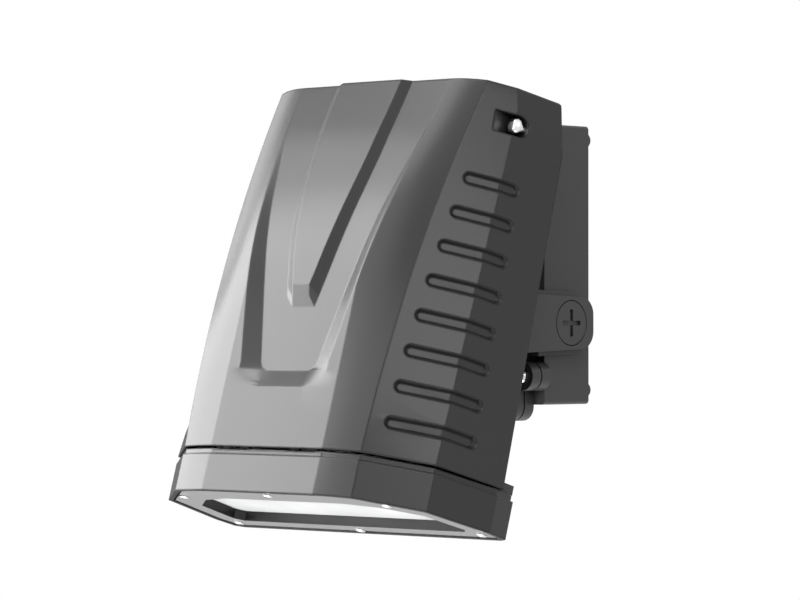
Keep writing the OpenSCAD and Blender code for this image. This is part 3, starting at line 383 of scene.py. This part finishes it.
def fine_grain_effect():
    """Node group: a fine grain, drawn out by its stretch, that spreads tone, sheen and height."""
    group, start, end = new_effect(
        "FineGrain",
        taken=(
            ("Colour", "Color"), ("Darkest", "Float"), ("Lightest", "Float"),
            ("Smoothest", "Float"), ("Roughest", "Float"),
            ("Stretch", "Vector"), ("Scale", "Float"), ("Detail", "Float"),
            ("Strength", "Float"), ("Depth", "Float"),
        ),
        given=(("Colour", "Color"), ("Roughness", "Float"), ("Normal", "Vector")),
    )
    new, link = group.nodes.new, group.links.new
    drawn = new("ShaderNodeMapping")
    link(new("ShaderNodeTexCoord").outputs["Object"], drawn.inputs["Vector"])
    link(start.outputs["Stretch"], drawn.inputs["Scale"])
    grain = noise(group, drawn.outputs["Vector"], start.outputs["Scale"], start.outputs["Detail"])
    spreads = []
    for low, high in (("Darkest", "Lightest"), ("Smoothest", "Roughest")):
        spread = new("ShaderNodeMapRange")
        link(grain, spread.inputs["Value"])
        link(start.outputs[low], spread.inputs["To Min"])
        link(start.outputs[high], spread.inputs["To Max"])
        spreads.append(spread.outputs["Result"])
    tone, rough = spreads
    link(toned(group, start.outputs["Colour"], tone), end.inputs["Colour"])
    link(rough, end.inputs["Roughness"])
    relief = new("ShaderNodeBump")
    link(grain, relief.inputs["Height"])
    link(start.outputs["Strength"], relief.inputs["Strength"])
    link(start.outputs["Depth"], relief.inputs["Distance"])
    link(relief.outputs["Normal"], end.inputs["Normal"])
    return group


fine_grain = fine_grain_effect()


def moulded(name, colour, roughness, scale, depth):
    """Moulded rubber or plastic: an even grain of a scale and a depth."""
    return dressed(name, fine_grain, {
        "Colour": (*colour, 1), "Darkest": 0.85, "Lightest": 1.15,
        "Smoothest": roughness - 0.06, "Roughest": roughness + 0.06,
        "Stretch": (1, 1, 1), "Scale": scale, "Detail": 3, "Strength": 0.2, "Depth": depth,
    })[0]


def finished(finish, *names):
    """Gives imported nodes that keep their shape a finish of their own."""
    for name in names:
        nodes[name].data.materials.clear()
        nodes[name].data.materials.append(finish)


seal_rubber = moulded("SealRubber", (0.012, 0.012, 0.012), roughness=0.7, scale=700, depth=0.0002)
gland_nylon = moulded("GlandNylon", (0.014, 0.014, 0.015), roughness=0.45, scale=900, depth=0.0001)
cream_plastic = moulded("TerminalPlastic", (0.66, 0.62, 0.5), roughness=0.4, scale=500, depth=0.0001)
finished(seal_rubber, "wall_gasket", "cover_gasket", "wire_grommet")
finished(seal_rubber, "deck_seal", "hood_gasket", "lens_gasket")
finished(cream_plastic, "terminal_block")
for node, name in (("box_gland", "BoxGland"), ("head_gland", "HeadGland")):
    edged(fused(node, name, [gland_nylon]), width=0.0006)

# --- Screws and stock metal -----------------------------------------------------------------
# Screws, washers and brackets are stainless steel, bright, with the fine rings and streaks of turning and
# rolling. The heat sink and the driver's case are bare aluminium, and the earth screw is green.


def metal(name, colour, roughness, streak):
    """Bare metal: fine streaks, drawn out by the three shares of the streak."""
    finish, skin = dressed(name, fine_grain, {
        "Colour": (*colour, 1), "Darkest": 0.88, "Lightest": 1,
        "Smoothest": roughness - 0.05, "Roughest": roughness + 0.08,
        "Stretch": streak, "Scale": 300, "Detail": 4, "Strength": 0.08, "Depth": 0.0001,
    })
    skin.inputs["Metallic"].default_value = 1
    return finish


stainless = metal("Stainless", (0.8, 0.8, 0.8), roughness=0.25, streak=(1, 6, 1))
aluminium = metal("BareAluminium", (0.78, 0.79, 0.8), roughness=0.34, streak=(1, 1, 8))
ground_green = metal("GroundGreen", (0.12, 0.4, 0.16), roughness=0.35, streak=(2, 2, 2))
finished(ground_green, "ground_screw")
finished(aluminium, "heat_sink", "driver")
finished(stainless, "friction_washers", "driver_bracket", "driver_screws", "screw_retainers", "hinge_pins")
for node, name in (
    ("cover_screws", "CoverScrews"),
    ("yoke_screws", "YokeScrews"),
    ("band_screws", "DeckScrews"),
    ("lens_screws", "LensScrews"),
):
    fused(node, name, [stainless], angle=35)

# --- Arms and pivots ------------------------------------------------------------------------
# The yoke is one casting, two arms and the plate between them. Its arms turn on two large slotted pivot
# screws, painted with it, whose heads sit flush in the arms.
yoke = fused("yoke", "YokeCasting", [box_paint])
edged(yoke, width=0.0008)
fused("pivot_screws", "PivotScrews", [box_paint])

# --- Rear housing ---------------------------------------------------------------------------
# The head's back is an aluminium casting with cooling ribs and a lip over the bottom band, coated as the
# wiring box is. The yoke's plate is screwed to it.
fused("rear_housing", "RearCasting", [box_paint])

# --- Bottom band ----------------------------------------------------------------------------
# The band under the hood is a casting of its own, with a set-back strip below the hood's seam. It has the
# same coat as the hood, glossier than the box's, and is screwed to the rear housing.
tilt = math.radians(16.6)
# The hood's coat has a strong painted dark line, as painted shade, along its edges
hood_paint = coated(
    "HoodPaint", (0.036, 0.036, 0.0364), roughness=0.25, specular=0.35, radius=0.0018, line=0.95
)
band = fused("bottom_band", "BandShell", [hood_paint], angle=12)


def in_tilt(vector):
    """How far a place or a direction reaches up along the tilted head and back across it."""
    up = vector.y * math.sin(tilt) + vector.z * math.cos(tilt)
    back = vector.y * math.cos(tilt) - vector.z * math.sin(tilt)
    return up, back


def creased(piece, inner):
    """The panels beside the flat middle one meet it at a slight crease. Halves their curve, from the crease
    to their outer edge, and keeps the crease sharp. The inner value is where they begin, from the middle."""
    least_lean, most_lean, least_front = 0.03, 0.56, 0.75  # of a face's normal, to its side and ahead
    outer_at_pivot, outer_spread = 0.0878, 0.0555  # the panels end on a line that spreads upwards
    row_digits, least_row = 4, 0.012  # corners within 0.1 mm of height are a row, and short rows aren't used
    curve_taken = 0.5
    mesh = bmesh.new()
    mesh.from_mesh(piece.data)
    skin = set()
    for face in mesh.faces:
        middle = face.calc_center_median()
        outer = outer_at_pivot + in_tilt(middle)[0] * outer_spread
        leaned = least_lean < face.normal.x * math.copysign(1, middle.x) < most_lean
        if leaned and inner < abs(middle.x) < outer and -in_tilt(face.normal)[1] > least_front:
            skin.add(face)
    rows = {}
    for corner in {v for face in skin for v in face.verts}:
        up, back = in_tilt(corner.co)
        rows.setdefault(round(up, row_digits), []).append((abs(corner.co.x), back, corner))
    ends = {up: [pick(row, key=lambda c: c[0]) for pick in (min, max)] for up, row in rows.items()}
    levels = sorted(up for up, (first, last) in ends.items() if last[0] - first[0] > least_row)
    for up, row in rows.items():
        above = min((level for level in levels if level >= up), default=levels[-1])
        below = max((level for level in levels if level <= up), default=levels[0])
        share = 0 if above == below else (up - below) / (above - below)
        (x_in, y_in), (x_out, y_out) = [
            [low[k] + share * (high[k] - low[k]) for k in (0, 1)]
            for low, high in zip(ends[below], ends[above])
        ]
        for x, _, corner in row:
            run = min(max((x - x_in) / (x_out - x_in), 0), 1)
            push = curve_taken * (y_out - y_in) * run * (1 - run)
            corner.co.y += push * math.cos(tilt)
            corner.co.z -= push * math.sin(tilt)
    mesh.normal_update()
    for edge in mesh.edges:
        if len(edge.link_faces) == 2 and len(skin & set(edge.link_faces)) == 1:
            edge.smooth = False
    mesh.to_mesh(piece.data)
    mesh.free()


creased(band, inner=0.0485)

# The tilt pivot's place, back and up in millimetres, in the head's own frame and in the light's
pivot_in_head = (155.3, 154.5)
pivot_in_light = (-32.2, -37.2)


def in_head(x, y, z):
    """The place of a point given in millimetres in the head's own frame, from its lower front edge."""
    y, z = y - pivot_in_head[0], z - pivot_in_head[1]
    return (
        x / 1000,
        (pivot_in_light[0] + y * math.cos(tilt) + z * math.sin(tilt)) / 1000,
        (pivot_in_light[1] - y * math.sin(tilt) + z * math.cos(tilt)) / 1000,
    )


# A thin painted trim lies along the straight front of the strip and hides the hinges' knuckles
trim_width, trim_thickness, trim_height, trim_edge = 0.0972, 0.00028, 0.0027, 0.00008
trim_foot = in_head(0, 1.24, 23.9)
bpy.ops.object.select_all(action="DESELECT")
bpy.ops.mesh.primitive_plane_add(size=1, location=(0, 0, 0))
trim = bpy.context.object
trim.name = "StripTrim"
bpy.ops.object.mode_set(mode="EDIT")
bpy.ops.transform.resize(value=(trim_width, trim_thickness, 1))
bpy.ops.mesh.extrude_region_move(TRANSFORM_OT_translate={"value": (0, 0, trim_height)})
bpy.ops.mesh.select_all(action="SELECT")
bpy.ops.mesh.normals_make_consistent(inside=False)
bpy.ops.mesh.bevel(offset=trim_edge, segments=2)
bpy.ops.object.mode_set(mode="OBJECT")
trim.location = trim_foot
trim.rotation_euler.x = -tilt
bpy.ops.object.transform_apply(location=True, rotation=True, scale=True)
trim.data.materials.append(hood_paint)
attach(trim, "head")

# --- Lens -----------------------------------------------------------------------------------
# A plate, screwed up into the band, holds the frosted glass in its gasket. Its light grey is partly its
# own coat and partly painted light, for the light it takes from below. The walls of its mouth are black.
# Over the glass sit a white reflector, a white circuit board and yellow light chips.
plate_paint_and_painted_light = coated(
    "PlatePaintAndPaintedLight", (0.245, 0.245, 0.247), roughness=0.45, specular=0.3, radius=0.0004, line=0.3
)
mouth_black = coated(
    "MouthBlack", (0.012, 0.012, 0.012), roughness=0.35, specular=0.4, radius=0.0004, line=0.0
)
plate = fused("lens_frame", "LensPlate", [plate_paint_and_painted_light, mouth_black], angle=20)
most_upright = 0.5
for face in plate.data.polygons:
    if abs(in_tilt(face.normal)[0]) < most_upright:
        face.material_index = 1
frosted, glass, glass_skin = new_finish("FrostedGlass")
glass_skin.inputs["Transmission Weight"].default_value = 0.08
glass_skin.inputs["IOR"].default_value = 1.5
haze = noise(glass, glass.nodes.new("ShaderNodeTexCoord").outputs["Object"], scale=25, detail=4)
glass.links.new(span(glass, haze, low=0.12, high=0.3), glass_skin.inputs["Roughness"])
milk = glass.nodes.new("ShaderNodeValToRGB")
milk.color_ramp.elements[0].color = (0.94, 0.95, 0.955, 1)
milk.color_ramp.elements[1].color = (0.99, 0.99, 0.99, 1)
glass.links.new(haze, milk.inputs["Fac"])
glass.links.new(milk.outputs["Color"], glass_skin.inputs["Base Color"])
finished(frosted, "glass_lens")
board_white = moulded("BoardWhite", (0.8, 0.8, 0.78), roughness=0.45, scale=400, depth=0.0001)
reflector_white = moulded("ReflectorWhite", (0.86, 0.86, 0.86), roughness=0.2, scale=300, depth=0.0001)
chip_yellow = moulded("ChipYellow", (0.85, 0.6, 0.12), roughness=0.3, scale=900, depth=0.0001)
finished(board_white, "led_board")
finished(reflector_white, "reflector")
finished(chip_yellow, "led_chips")

# --- Hood -----------------------------------------------------------------------------------
# The sculpted hood is one casting with a trough, a raised V and rows of grooves. It swings on two hinges
# behind the strip, painted with it, and a captive screw sits in a dark pocket at each upper corner.
hood = fused("hood", "HoodShell", [hood_paint], angle=12)
creased(hood, inner=0.046)
# The rounded corners of the trough's lower wall shade as one curve
foot_low, foot_high = -0.1326, -0.1135
corner_in, corner_out = 0.014, 0.043
least_front, most_front = 0.7, 0.985
mesh = bmesh.new()
mesh.from_mesh(hood.data)
for edge in mesh.edges:
    middle = (edge.verts[0].co + edge.verts[1].co) / 2
    in_foot = foot_low < in_tilt(middle)[0] < foot_high
    if in_foot and corner_in < abs(middle.x) < corner_out and len(edge.link_faces) == 2:
        if all(least_front < -in_tilt(face.normal)[1] < most_front for face in edge.link_faces):
            edge.smooth = True
mesh.to_mesh(hood.data)
mesh.free()
fused("band_hinges", "BandKnuckles", [hood_paint])
fused("hood_hinges", "HoodKnuckles", [hood_paint])

# The captive screws are turned from bright stainless bar, with a smooth domed head. Each step of the
# outline, from the flat top on, is a radius and a depth, in millimetres.
screw_across, screw_back, screw_up = 102.4, 50.3, 250.5
screw_top = 1.5
screw_outline = (
    (3.2, 0.3), (4.3, 0.9), (4.95, 1.7), (5.2, 2.6), (5.2, 3.7), (5.0, 4.0), (3.4, 4.0), (3.4, 6.5),
    (2.4, 6.5), (2.4, 29.0), (2.0, 29.4),
)
for side, name in ((-1, "CaptiveScrewLeft"), (1, "CaptiveScrewRight")):
    bpy.ops.object.select_all(action="DESELECT")
    bpy.ops.mesh.primitive_circle_add(
        vertices=48, radius=screw_top / 1000, fill_type="NGON", location=(0, 0, 0)
    )
    screw = bpy.context.object
    screw.name = name
    bpy.ops.object.mode_set(mode="EDIT")
    reach, wide = 0, screw_top
    for radius, depth in screw_outline:
        bpy.ops.mesh.extrude_region_move(TRANSFORM_OT_translate={"value": (0, 0, (reach - depth) / 1000)})
        bpy.ops.transform.resize(
            value=(radius / wide, radius / wide, 1), center_override=(0, 0, -depth / 1000)
        )
        reach, wide = depth, radius
    bpy.ops.mesh.select_all(action="SELECT")
    bpy.ops.mesh.normals_make_consistent(inside=False)
    bpy.ops.object.mode_set(mode="OBJECT")
    bpy.ops.object.shade_smooth_by_angle(angle=math.radians(40))
    screw.rotation_euler.x = math.pi / 2 - tilt
    screw.location = in_head(side * screw_across, screw_back, screw_up)
    bpy.ops.object.transform_apply(location=True, rotation=True, scale=True)
    screw.data.materials.append(stainless)
    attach(screw, "hood")
    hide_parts("captive_screws")
